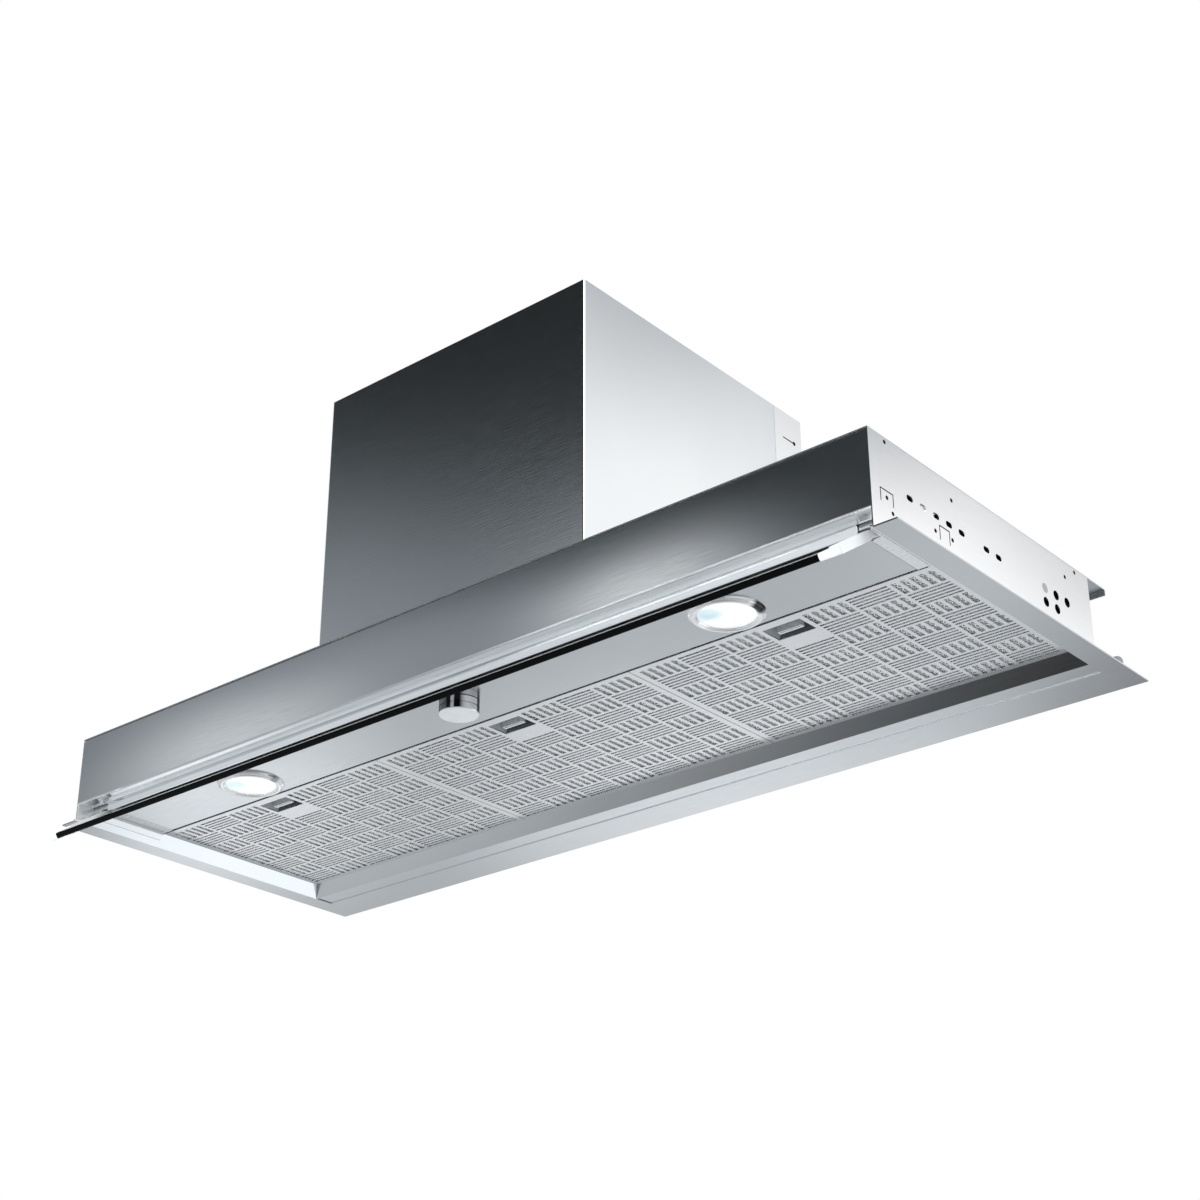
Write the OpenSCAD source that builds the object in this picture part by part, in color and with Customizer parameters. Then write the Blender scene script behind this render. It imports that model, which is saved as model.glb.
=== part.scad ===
// Built-in range hood: a sheet steel body that hides in a wall cabinet, with a motor box above it,
// three grease filters, two lamps, one turning knob and a glass visor that slides out at the front.
// Millimetres. X runs across the hood, Y runs back from the front panel, Z runs up from the
// underside of the flange.

/* [Body] */
// Width of the flange that covers the cabinet's lower edge
flange_w = 900; // [860:1:1000]
// Strip of flange that shows beside each side plate
flange_lip = 19; // [14:0.5:30]
// Thickness of the flange
flange_t = 1.2; // [1:0.1:1.6]
// Depth of the side plates
body_d = 304.8; // [300:0.1:325]
// Flange behind the side plates
rear_lip = 46.5; // [42:0.5:60]
// Height of the body
body_h = 79; // [76:1:95]
// Thickness of the body's sheet steel
sheet = 1; // [0.8:0.1:1.2]
// Outer radius of the folds in the sheet
fold_r = 1.6; // [1.4:0.1:2]
// Height of the upstand along the rear of the flange
upstand_h = 28.5; // [20:0.5:40]
// Width of the raised band in the rear flange
band_w = 20; // [12:1:24]
// Height of the raised band
band_rise = 0.8; // [0.4:0.1:1]

/* [Recess] */
// Height of the light panel and the filters above the flange's underside
recess_h = 10.6; // [9.5:0.1:12]
// How far the walls of the recess lean in from bottom to top
recess_lean = 8; // [5:0.5:9]
// Distance from the rear wall of the recess to the back of the body
recess_back = 11.8; // [10:0.1:16]

/* [Front] */
// Height of the ledge under the front panel
ledge_z = 15.6; // [15:0.1:18]
// Depth of the ledge
ledge_d = 16.5; // [14:0.5:18]
// Height of the lower edge of the strip behind the ledge
strip_z = 9; // [8:0.1:10]
// Width of the folded returns inside the body
return_w = 12; // [10:1:15]

/* [Visor] */
// Slope of the visor below the horizontal, in degrees
visor_tilt = 34.2; // [32:0.1:38]
// How far the visor's front edge stands before the front panel
visor_out = 34; // [30:1:38]
// Travel of the visor along its slope
visor_travel = 56; // [50:1:57]
// Thickness of the visor's glass
glass_t = 3; // [2.5:0.5:4]
// Height of the dark trim on the visor's front edge
trim_h = 5; // [4.6:0.1:6]
// Depth of the trim
trim_d = 7; // [6:0.5:9]
// Wall of the trim's channel
trim_wall = 0.9; // [0.7:0.1:1]
// Width of each visor arm
arm_w = 8.6; // [8:0.1:10]
// Height of each visor arm
arm_h = 7.4; // [7:0.1:8]
// Length of arm that stays in the guide when the visor is out
arm_grip = 30; // [24:1:34]
// Gap between the outer faces of the arms and the side plates
arm_inset = 13; // [12.5:0.1:16]

/* [Light panel] */
// Depth of the light panel
panel_d = 62; // [60:0.5:66]
// Height of the light panel's rear upstand
panel_up = 17; // [14:0.5:22]
// Distance between the lamps' centres
lamp_span = 525; // [450:1:560]
// Outer radius of a lamp's ring
lamp_r = 29.5; // [27:0.1:29.5]
// Radius of a lamp's glass
lamp_glass_r = 23.2; // [20:0.1:24]
// Radius of the knob
knob_r = 16.4; // [14:0.1:18]
// Height of the knob
knob_h = 11; // [10:0.1:14]
// Distance from the panel's front edge to the knob's centre
knob_set = 20; // [19:0.1:24]

/* [Filters] */
// Number of filters
filter_n = 3; // [3:1:3]
// Height of a filter's frame
filter_h = 12; // [11.5:0.1:14]
// Thickness of a filter's perforated sheet
filter_sheet = 0.8; // [0.6:0.1:1]
// Number of weave cells across a filter
cell_cols = 7; // [5:2:7]
// Number of weave cells from front to back
cell_rows = 8; // [6:1:8]
// Slots in each weave cell
cell_slots = 5; // [4:1:5]
// Plain border of the perforated sheet
border = 4; // [3:0.5:6]
// Width of the latch's recess
latch_w = 34; // [30:0.5:36]
// Depth of the latch's recess
latch_d = 21.8; // [20:0.1:24]
// Travel of the latch
latch_travel = 5; // [4:0.5:6]

/* [Motor box] */
// Width of the motor box
box_w = 300; // [290:1:340]
// Depth of the motor box
box_d = 305; // [300:1:330]
// Height of the motor box above the body
box_h = 262; // [258:1:300]
// Distance from the front panel to the motor box
box_set = 28.4; // [20:0.1:40]
// Distance from the seam in the box's sides to its back
seam_set = 42.4; // [36:0.1:50]

/* [Blower] */
// Radius of the blower's wheel
wheel_r = 72; // [66:1:74]
// Width of the blower's wheel
wheel_w = 124; // [110:1:130]
// Number of blades
blade_n = 32; // [24:1:36]
// Thickness of a blade
blade_t = 1; // [0.8:0.1:1.2]
// Radius of the motor
motor_r = 42; // [36:1:44]
// Radius of the motor's shaft
shaft_r = 4; // [3:0.5:5]
// Outer radius of the outlet collar
collar_r = 74.5; // [72:0.5:75]
// Height of the outlet collar
collar_h = 50; // [46:1:60]
// Wall of the outlet collar
collar_wall = 1.5; // [1.2:0.1:2]
// Radius of the flaps' hinge pin
pin_r = 1.5; // [1.2:0.1:2]

/* [Hidden] */
$fn = 64;

// Clearances and the overrun that all cuts share
seat = 0.3;
run_gap = 0.3;
pin_gap = 0.05;
over = 2;

// Derived places of the body
half_w = flange_w / 2 - flange_lip;
in_w = half_w - sheet;
flange_d = body_d + rear_lip;
plate_z = body_h - sheet;
recess_y1 = body_d - recess_back;
shelf_z = recess_h + sheet;
lean = recess_lean / recess_h;
recess_top_y = recess_y1 - lean * shelf_z;
recess_top_x = in_w - lean * shelf_z;
plate_y1 = box_set + box_d;
side_room_x = (half_w + box_w / 2) / 2;

// Line along which the visor slides, from where it crosses the plane of the light panel
slot_gap = 1;
panel_gap = 0.35;
line_y = ledge_d + sheet
  + (glass_t / 2 + slot_gap - (strip_z - recess_h) * cos(visor_tilt)) / sin(visor_tilt);
visor_len = (line_y + visor_out) / cos(visor_tilt);
arm_x1 = half_w - arm_inset - sheet;
arm_x0 = arm_x1 - arm_w;

// Places on the light panel
panel_y0 = line_y + (sheet + glass_t / 2 / cos(visor_tilt)) / tan(visor_tilt)
  + panel_gap / sin(visor_tilt);
panel_y1 = panel_y0 + panel_d;
panel_x = arm_x0 - slot_gap;
lamp_edge = 0.8;
lamp_y = panel_y0 + lamp_edge + lamp_r;
knob_y = panel_y0 + knob_set;

// Folded sheet: a path of outer points with rounded corners, given its thickness on the left
function unit(v) = v / norm(v);
function fillet_pts(a, b, c, r, n) =
  let (
    u = unit(a - b),
    v = unit(c - b),
    ang = acos(u * v),
    p = b + u * r / tan(ang / 2),
    q = b + v * r / tan(ang / 2),
    m = b + unit(u + v) * r / sin(ang / 2),
    a0 = atan2(p[1] - m[1], p[0] - m[0]),
    a1 = atan2(q[1] - m[1], q[0] - m[0]),
    turn = a1 - a0 > 180 ? a1 - a0 - 360 : a1 - a0 < -180 ? a1 - a0 + 360 : a1 - a0
  )
  [for (k = [0:n]) m + r * [cos(a0 + turn * k / n), sin(a0 + turn * k / n)]];
function rounded(path, r, n = 3) = [
  path[0],
  for (i = [1:len(path) - 2]) each fillet_pts(path[i - 1], path[i], path[i + 1], r, n),
  path[len(path) - 1]
];
function left_of(d) = [-d[1], d[0]];
function mitre(path, i) =
  let (
    last = len(path) - 1,
    n0 = left_of(unit(path[max(i, 1)] - path[max(i, 1) - 1])),
    n1 = left_of(unit(path[min(i + 1, last)] - path[min(i, last - 1)])),
    m = unit(n0 + n1)
  )
  m / (m * n0);
function ribbon(path, t) = concat(
  path,
  [for (i = [len(path) - 1:-1:0]) path[i] + t * mitre(path, i)]
);

// A profile drawn in Y and Z, run along X
module run_x(x0, x1, pts) {
  translate([x0, 0, 0])
    rotate([90, 0, 90])
      linear_extrude(height = x1 - x0)
        polygon(pts);
}

// A profile drawn in X and Z, run along Y
module run_y(y0, y1, pts) {
  translate([0, y1, 0])
    rotate([90, 0, 0])
      linear_extrude(height = y1 - y0)
        polygon(pts);
}

// A block between two corners
module block(a, b) {
  translate(a)
    cube(b - a);
}

// A round slot, drawn flat, with its length along the first axis
module slot_2d(len, wid) {
  square([len - wid, wid], center = true);
  for (e = [-1, 1])
    translate([e * (len - wid) / 2, 0])
      circle(d = wid);
}

// Mirrors its children to the left when side is -1
module on_side(side) {
  if (side < 0)
    mirror([1, 0, 0])
      children();
  else
    children();
}

// The visor's own axes: its second axis runs inwards and up along the slope
module along_visor() {
  translate([0, line_y, recess_h])
    rotate([visor_tilt, 0, 0])
      children();
}

// Front panel: face, ledge and strip folded from one sheet
module front_panel() {
  path = rounded([
    [return_w, plate_z], [0, plate_z], [0, ledge_z], [ledge_d, ledge_z], [ledge_d, strip_z]
  ], fold_r);
  color([0.48, 0.50, 0.52])
    difference() {
      run_x(-in_w, in_w, ribbon(path, sheet));
      for (e = [-1, 1])
        on_side(e)
          block([panel_x, ledge_d - fold_r, strip_z - over],
                [in_w + over, ledge_d + sheet + over, ledge_z + fold_r + sheet]);
    }
}

// Places of the holes in a side plate: distance from the front, height above the flange
hole_r = 1.7;
slot_len = 8;
slot_wid = 4.6;
slot_pitch = 16.85;
slot_y0 = 48.8;
slot_row_z = 42;
slot_steps = [0, 1, 2, 3, 4, 6, 7];
vent_r = 4;
vent_y = 233.6;
vent_z = 42.6;
vent_step_y = 16.6;
vent_drop = 11.6;
tab_cut = 1;
front_tab = [12, 25.5];
front_tab_w = 14.5;
front_tab_h = 9.6;
mid_tab = [86.6, 24.9];
mid_tab_w = 11.8;
mid_tab_h = 10.8;
screw_inset_y = 20.8;
screw_inset_z = 4;
small_holes = [[25.6, 20.4], [80.2, 29.5], [102.7, 30.8], [105.5, 64.2], [267.5, 64.8]];

// The cut around three sides of a tab that can be bent out
module tab_cut_2d(w, h) {
  difference() {
    translate([-tab_cut, 0])
      square([w + 2 * tab_cut, h + tab_cut]);
    translate([0, -over])
      square([w, h + over]);
  }
}

module side_holes_2d() {
  for (k = slot_steps)
    translate([slot_y0 + k * slot_pitch, slot_row_z])
      slot_2d(slot_len, slot_wid);
  for (k = [0:2])
    translate([vent_y + k * vent_step_y, vent_z])
      circle(r = vent_r);
  for (k = [0:1])
    translate([vent_y + k * vent_step_y, vent_z - vent_drop])
      circle(r = vent_r);
  for (y = [screw_inset_y, body_d - screw_inset_y])
    translate([y, body_h - screw_inset_z])
      circle(r = hole_r);
  for (p = small_holes)
    translate(p)
      circle(r = hole_r);
  translate(front_tab) {
    tab_cut_2d(front_tab_w, front_tab_h);
    translate([front_tab_w / 2, front_tab_h / 2])
      circle(r = hole_r);
  }
  translate(mid_tab)
    tab_cut_2d(mid_tab_w, mid_tab_h);
}

// Side plate: pierced sheet with a return along its front and its top
module side_plate(side) {
  color([0.86, 0.87, 0.88])
    on_side(side) {
      translate([in_w, 0, 0])
        rotate([90, 0, 90])
          linear_extrude(height = sheet)
            difference() {
              translate([0, flange_t])
                square([body_d, plate_z - flange_t]);
              side_holes_2d();
            }
      block([in_w - return_w, sheet, ledge_z + 2 * fold_r],
            [in_w, 2 * sheet, plate_z - 2 * fold_r]);
      block([in_w - return_w, return_w + fold_r, plate_z - sheet],
            [in_w, body_d - return_w - fold_r, plate_z]);
    }
}

// Rear panel of the filter chamber, with a return under the top plate
module rear_panel() {
  path = rounded([
    [body_d, shelf_z], [body_d, plate_z], [body_d - return_w, plate_z]
  ], fold_r);
  color([0.80, 0.81, 0.82])
    run_x(-in_w, in_w, ribbon(path, sheet));
}

// Top plate: opening under the motor box, and a lip turned down behind the body
lip_h = 4.5;
inlet_margin = 16;
module top_plate() {
  path = rounded([
    [plate_y1, plate_z - lip_h], [plate_y1, body_h], [0, body_h]
  ], fold_r);
  color([0.78, 0.79, 0.80])
    difference() {
      run_x(-half_w, half_w, ribbon(path, sheet));
      block([-box_w / 2 + inlet_margin, box_set + inlet_margin, plate_z - over],
            [box_w / 2 - inlet_margin, body_d - inlet_margin, body_h + over]);
    }
}

// The hollow of the recess, or its outer form when it is grown by one wall
module recess_form(grow, low, high) {
  x0 = in_w + grow - lean * low;
  x1 = in_w + grow - lean * high;
  y0 = recess_y1 + grow - lean * low;
  y1 = recess_y1 + grow - lean * high;
  intersection() {
    run_y(-over, recess_y1 + grow + over * lean + over, [[-x0, low], [x0, low], [x1, high], [-x1, high]]);
    run_x(-in_w - grow - over * lean - over, in_w + grow + over * lean + over,
          [[-over, low], [y0, low], [y1, high], [-over, high]]);
  }
}

// Flange, leaning walls of the recess and the shelf round it
upstand_round = 6;
module bottom_frame() {
  frame_y0 = ledge_d + sheet + seat;
  color([0.66, 0.68, 0.70]) {
    difference() {
      union() {
        block([-flange_w / 2, 0, 0], [flange_w / 2, flange_d, flange_t]);
        block([-in_w, recess_y1, band_rise],
              [in_w, recess_y1 + band_w, band_rise + flange_t]);
        difference() {
          union() {
            recess_form(sheet, 0, shelf_z);
            block([-in_w, 0, recess_h], [in_w, body_d, shelf_z]);
          }
          block([-flange_w, -over, flange_t], [flange_w, frame_y0, shelf_z + over]);
        }
      }
      recess_form(0, -over, shelf_z + over);
      block([-in_w, recess_y1 + sheet, -over], [in_w, recess_y1 + band_w, band_rise]);
    }
    translate([0, flange_d, 0])
      rotate([90, 0, 0])
        linear_extrude(height = flange_t) {
          translate([-half_w, 0])
            square([2 * half_w, upstand_h - upstand_round]);
          translate([upstand_round - half_w, 0])
            square([2 * (half_w - upstand_round), upstand_h]);
          for (e = [-1, 1])
            translate([e * (half_w - upstand_round), upstand_h - upstand_round])
              circle(r = upstand_round);
        }
  }
}

// Light panel: holes for two lamps and the knob's bush, and an upstand behind
lamp_room = 1.8;
lamp_hole_r = lamp_glass_r + lamp_room;
bush_r = 4.5;
bush_gap = 0.3;
module light_panel() {
  path = rounded([
    [panel_y0, recess_h], [panel_y1, recess_h], [panel_y1, recess_h + panel_up]
  ], fold_r);
  color([0.74, 0.76, 0.78])
    difference() {
      run_x(-panel_x, panel_x, ribbon(path, sheet));
      for (e = [-1, 1])
        translate([e * lamp_span / 2, lamp_y, recess_h - over])
          cylinder(r = lamp_hole_r, h = sheet + 2 * over);
      translate([0, knob_y, recess_h - over])
        cylinder(r = bush_r + bush_gap, h = sheet + 2 * over);
    }
}

// Visor guide: an open channel on the visor's slope, on a foot that closes the panel's end, with a
// shield above the arm that closes the gap at the end of the front panel's strip
rail_t = 1.5;
foot_t = 2;
foot_in = 12;
foot_set = 8.6;
foot_y0 = panel_y0 + foot_set;
pad_set = 4.4;
pad_y0 = panel_y0 + pad_set;
skirt_t = 1.1;
skirt_drop_share = 0.51;
rail_in = 1.4;
guide_in = 12;
shield_h = 14;
shield_gap = 0.9;
groove_line = 0.6;
guide_spare = 4;
guide_out = arm_grip + visor_travel + guide_spare;
module visor_guide(side) {
  web_x0 = arm_x1 + run_gap;
  rail_z = arm_h / 2 + run_gap;
  low_z = recess_h * (1 - skirt_drop_share);
  top_x = recess_top_x - seat;
  low_x = top_x + lean * (shelf_z - low_z);
  under_z = recess_h - skirt_t;
  under_x = top_x + lean * (sheet + skirt_t) - skirt_t;
  mid_x = (web_x0 + under_x) / 2;
  shield_y = ledge_d + sheet + seat;
  shield_z = shelf_z + shield_gap;
  color([0.86, 0.87, 0.88])
    on_side(side) {
      difference() {
        union() {
          along_visor() {
            block([web_x0, guide_in, -rail_z - rail_t],
                  [in_w, guide_out + rail_t, rail_z + rail_t]);
            for (z = [rail_z, -rail_z - rail_t])
              block([arm_x0 + rail_in, guide_in, z], [in_w, guide_out + rail_t, z + rail_t]);
            block([arm_x0 + rail_in, guide_out, -rail_z],
                  [in_w, guide_out + rail_t, rail_z]);
          }
          block([panel_x - foot_in, foot_y0, shelf_z], [top_x, panel_y1 - sheet - seat, shelf_z + foot_t]);
        }
        block([panel_x - foot_in - over, 0, -over], [in_w + over, panel_y1, shelf_z]);
      }
      block([panel_x + seat, pad_y0, recess_h], [top_x, panel_y1, shelf_z]);
      block([panel_x + seat, shield_y, shield_z], [in_w, shield_y + rail_t, shield_z + shield_h]);
      block([web_x0, shield_y, shelf_z], [in_w, shield_y + rail_t, shield_z]);
      run_y(shield_y, panel_y1, [
        [web_x0, recess_h],
        [web_x0, under_z],
        [mid_x - groove_line, under_z],
        [mid_x - groove_line, under_z + groove_line],
        [mid_x, under_z + groove_line],
        [mid_x, under_z],
        [under_x, under_z],
        [low_x - skirt_t, low_z],
        [low_x, low_z],
        [top_x, shelf_z],
        [web_x0, shelf_z]
      ]);
    }
}

// Visor: clear glass between two arms, with a dark trim along its front edge
glass_tail = 2;
glass_bite = 4;
arm_bite = 4;
glass_y0 = trim_d - glass_bite - visor_len;
module visor_glass() {
  color([0.80, 0.88, 0.90, 0.4])
    along_visor()
      block([-arm_x0 - arm_bite, glass_y0, -glass_t / 2], [arm_x0 + arm_bite, -glass_tail, glass_t / 2]);
}

module visor_trim() {
  bite = glass_t / 2;
  color([0.10, 0.11, 0.12])
    along_visor()
      run_x(-arm_x0, arm_x0, [
        [-visor_len, -trim_h / 2 + trim_wall],
        [-visor_len + trim_wall, -trim_h / 2],
        [trim_d - visor_len, -trim_h / 2],
        [trim_d - visor_len, -bite],
        [glass_y0, -bite],
        [glass_y0, bite],
        [trim_d - visor_len, bite],
        [trim_d - visor_len, trim_h / 2],
        [-visor_len + trim_wall, trim_h / 2],
        [-visor_len, trim_h / 2 - trim_wall]
      ]);
}

// Visor arm: a bar with a slimmer tip and neck, a glide at its rear and a groove that holds the glass
arm_round = 1.8;
arm_slim = 0.8;
arm_tip = 17.5;
neck_y0 = -8;
neck_y1 = 8;
module visor_arm(side) {
  slim_z = arm_h / 2 - arm_slim;
  slim_x = arm_x1 - arm_slim;
  tip_y = arm_tip - visor_len;
  path = rounded([[tip_y, -slim_z], [-visor_len, -slim_z], [-visor_len, slim_z], [tip_y, slim_z]], arm_round);
  color([0.90, 0.91, 0.92])
    on_side(side)
      along_visor()
        difference() {
          union() {
            run_x(arm_x0, slim_x, path);
            block([arm_x0, tip_y, -arm_h / 2], [arm_x1, neck_y0, arm_h / 2]);
            block([arm_x0, neck_y0, -slim_z], [slim_x, neck_y1, slim_z]);
            block([arm_x0, neck_y1, -arm_h / 2], [arm_x1, arm_grip, arm_h / 2]);
          }
          block([arm_x0 - over, glass_y0, -glass_t / 2], [arm_x0 + arm_bite, -glass_tail, glass_t / 2]);
        }
}

// Knob: turned cap with a groove round its middle and a hub for the spindle
spindle_r = 3;
knob_wall = 2;
hub_r = 5.5;
groove_w = 0.8;
groove_d = 0.7;
knob_edge = 0.6;
knob_lift = 0.4;
spindle_in = 7;
module control_knob() {
  z0 = recess_h - knob_lift - knob_h;
  z1 = recess_h - knob_lift;
  mid = z0 + knob_h / 2;
  color([0.88, 0.89, 0.90])
    translate([0, knob_y, 0])
      rotate_extrude()
        polygon([
          [0, z0],
          [knob_r - knob_edge, z0],
          [knob_r, z0 + knob_edge],
          [knob_r, mid - groove_w / 2],
          [knob_r - groove_d, mid - groove_w / 2],
          [knob_r - groove_d, mid + groove_w / 2],
          [knob_r, mid + groove_w / 2],
          [knob_r, z1],
          [knob_r - knob_wall, z1],
          [knob_r - knob_wall, z0 + knob_wall],
          [hub_r, z0 + knob_wall],
          [hub_r, z1],
          [spindle_r + pin_gap, z1],
          [spindle_r + pin_gap, z1 - spindle_in],
          [0, z1 - spindle_in]
        ]);
}

switch_w = 18;
switch_h = 6;
bush_down = 1.2;
module knob_spindle() {
  color([0.70, 0.71, 0.72])
    translate([0, knob_y, recess_h - knob_lift - spindle_in + pin_gap])
      cylinder(r = spindle_r, h = spindle_in + knob_lift + sheet + switch_h / 2);
}

// Rotary switch: body above the panel and a bush down through it
module rotary_switch() {
  color([0.20, 0.21, 0.22])
    translate([0, knob_y, 0])
      difference() {
        union() {
          block([-switch_w / 2, -switch_w / 2, shelf_z], [switch_w / 2, switch_w / 2, shelf_z + switch_h]);
          translate([0, 0, recess_h + seat - knob_lift / 2])
            cylinder(r = bush_r, h = sheet);
        }
        translate([0, 0, recess_h - over])
          cylinder(r = spindle_r + pin_gap, h = over + sheet + switch_h / 2 + seat);
      }
}

// Lamp: polished ring, glass disc, and a shallow body with a finned heat sink
ring_down = 2.2;
ring_step = 1;
tube_t = 1.2;
lamp_up = 3.6;
sink_r = 13;
sink_h = 5.6;
fin_n = 6;
fin_t = 1.2;
lens_t = 1.6;
lens_up = 1.2;
module lamp_ring(side) {
  bore_r = lamp_glass_r + seat / 3;
  lip_r = lamp_glass_r - ring_step;
  z0 = recess_h - ring_down;
  lens_z = z0 + lens_up;
  color([0.85, 0.86, 0.88])
    translate([side * lamp_span / 2, lamp_y, 0])
      rotate_extrude()
        polygon([
          [lip_r, z0 + ring_step / 2],
          [lip_r + ring_step, z0],
          [lamp_r - ring_down, z0],
          [lamp_r - ring_down / 3, z0 + ring_down / 3],
          [lamp_r, recess_h],
          [bore_r + tube_t, recess_h],
          [bore_r + tube_t, shelf_z + lamp_up],
          [bore_r, shelf_z + lamp_up],
          [bore_r, lens_z],
          [lip_r, lens_z]
        ]);
}

module lamp_glass(side) {
  color([0.96, 0.99, 1, 0.9])
    translate([side * lamp_span / 2, lamp_y, recess_h - ring_down + lens_up])
      cylinder(r = lamp_glass_r, h = lens_t);
}

module lamp_body(side) {
  z0 = recess_h - ring_down + lens_up + lens_t;
  z1 = shelf_z + lamp_up;
  color([0.25, 0.26, 0.28])
    translate([side * lamp_span / 2, lamp_y, 0]) {
      translate([0, 0, z0])
        cylinder(r = lamp_glass_r - seat, h = z1 - z0);
      difference() {
        translate([0, 0, z1])
          cylinder(r = sink_r, h = sink_h);
        for (k = [0:fin_n - 1])
          translate([(k + 1 / 2 - fin_n / 2) * 2 * sink_r / fin_n - fin_t / 2, -sink_r - over, z1 + fin_t])
            cube([fin_t, 2 * (sink_r + over), sink_h]);
      }
    }
}

// Supply for the lamps, under the top plate
driver_size = [90, 42, 24];
driver_foot = 12;
driver_foot_t = 2;
driver_y = 190;
module lamp_driver() {
  color([0.92, 0.92, 0.91])
    translate([-side_room_x, driver_y, plate_z - driver_size[2]])
      translate([-driver_size[0] / 2, -driver_size[1] / 2, 0])
        difference() {
          cube(driver_size);
          for (e = [-over, driver_size[0] - driver_foot])
            translate([e, -over, -over])
              cube([driver_foot + over, driver_size[1] + 2 * over, driver_size[2] - driver_foot_t + over]);
        }
}

// Filter: perforated sheet in a basket weave of slots, with a folded rim
filter_gap = 0.6;
front_gap = 1.5;
rear_gap = 1.2;
filter_pitch = (2 * recess_top_x - 2 * seat + filter_gap) / filter_n;
filter_w = filter_pitch - filter_gap;
filter_y0 = panel_y1 + front_gap;
filter_y1 = recess_top_y - rear_gap;
cell_w = (filter_w - 2 * border) / cell_cols;
cell_d = (filter_y1 - filter_y0 - 2 * border) / cell_rows;
web_share = 0.40;
thin_web_share = 0.50;
rim_t = 1;
rim_in = 6;
tab_w = 20;
tab_x_share = 0.32;
tab_reach = 9;
latch_set = 4.4;
latch_y0 = filter_y0 + border + latch_set;
cup_wall = 1.4;
cup_slope = 4;
cup_rear_slope = 1;
cup_depth = 7.4;
cup_floor_z = recess_h + cup_depth;
slider_t = 1.3;
nose_gap = 0.5;
slider_w = 20;
slider_z = cup_floor_z + cup_wall / 2 + seat;
grip_w = 22;
grip_t = 4.2;
grip_groove = 1.2;
grip_ridge = 1;
grip_y = latch_y0 + latch_d - latch_travel - grip_t - cup_wall - seat;
cup_cell = [(cell_cols - 1) / 2, 0];

// True for the two cells that carry the latch
function plain_cell(c, r) = c == cup_cell[0] && r <= cup_cell[1] + 1;

module cell_slots_2d(c, r) {
  upright = (c + r) % 2 == 0;
  pitch = (upright ? cell_w : cell_d) / cell_slots;
  web = (upright ? web_share : thin_web_share) * pitch;
  end_web = web_share * cell_w / cell_slots / 2;
  for (k = [0:cell_slots - 1])
    if (upright)
      translate([c * cell_w + k * pitch + web / 2, r * cell_d + end_web])
        square([pitch - web, cell_d - 2 * end_web]);
    else
      translate([c * cell_w + end_web, r * cell_d + k * pitch + web / 2])
        square([cell_w - 2 * end_web, pitch - web]);
}

module filter_sheet_2d() {
  difference() {
    translate([-filter_w / 2, filter_y0])
      square([filter_w, filter_y1 - filter_y0]);
    translate([border - filter_w / 2, filter_y0 + border])
      for (c = [0:cell_cols - 1])
        for (r = [0:cell_rows - 1])
          if (!plain_cell(c, r))
            cell_slots_2d(c, r);
    translate([-latch_w / 2, latch_y0])
      square([latch_w, latch_d]);
  }
}

module filter_frame(at) {
  z1 = recess_h + filter_h;
  color([0.70, 0.72, 0.74])
    translate([at * filter_pitch, 0, 0]) {
      translate([0, 0, recess_h])
        linear_extrude(height = filter_sheet)
          filter_sheet_2d();
      difference() {
        block([-filter_w / 2, filter_y0, recess_h + filter_sheet], [filter_w / 2, filter_y1, z1]);
        block([rim_t - filter_w / 2, filter_y0 + rim_t, recess_h],
              [filter_w / 2 - rim_t, filter_y1 - rim_t, z1 - rim_t]);
        block([rim_in - filter_w / 2, filter_y0 + rim_in, recess_h],
              [filter_w / 2 - rim_in, filter_y1 - rim_in, z1 + over]);
        block([-slider_w / 2 - run_gap, filter_y0 - over, slider_z - run_gap],
              [slider_w / 2 + run_gap, filter_y0 + rim_t + over, slider_z + slider_t + run_gap]);
      }
      for (e = [-1, 1])
        block([e * tab_x_share * filter_w - tab_w / 2, filter_y1 - rim_t, shelf_z + seat],
              [e * tab_x_share * filter_w + tab_w / 2, filter_y1 + tab_reach, shelf_z + seat + rim_t]);
    }
}

// Filter mesh: a corrugated pad that lies on the perforated sheet
mesh_pitch = 3.9;
mesh_t = 0.5;
mesh_seat = 0.1;
mesh_room = 1.2;
module filter_mesh(at) {
  z0 = recess_h + filter_sheet + mesh_seat;
  z1 = recess_h + filter_h - rim_t - seat - mesh_t;
  x0 = rim_t + seat - filter_w / 2;
  n = floor(-2 * x0 / mesh_pitch);
  step = -2 * x0 / n;
  ridge = [for (k = [0:n]) [x0 + k * step, k % 2 == 0 ? z0 : z1]];
  color([0.62, 0.64, 0.66])
    translate([at * filter_pitch, 0, 0])
      difference() {
        run_y(filter_y0 + rim_t + seat, filter_y1 - rim_t - seat,
              concat(ridge, [for (k = [n:-1:0]) ridge[k] + [0, mesh_t]]));
        block([-latch_w / 2 - mesh_room - cup_wall, filter_y0 - over, recess_h],
              [latch_w / 2 + mesh_room + cup_wall, latch_y0 + latch_d + mesh_room + cup_wall,
               recess_h + filter_h]);
      }
}

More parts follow.
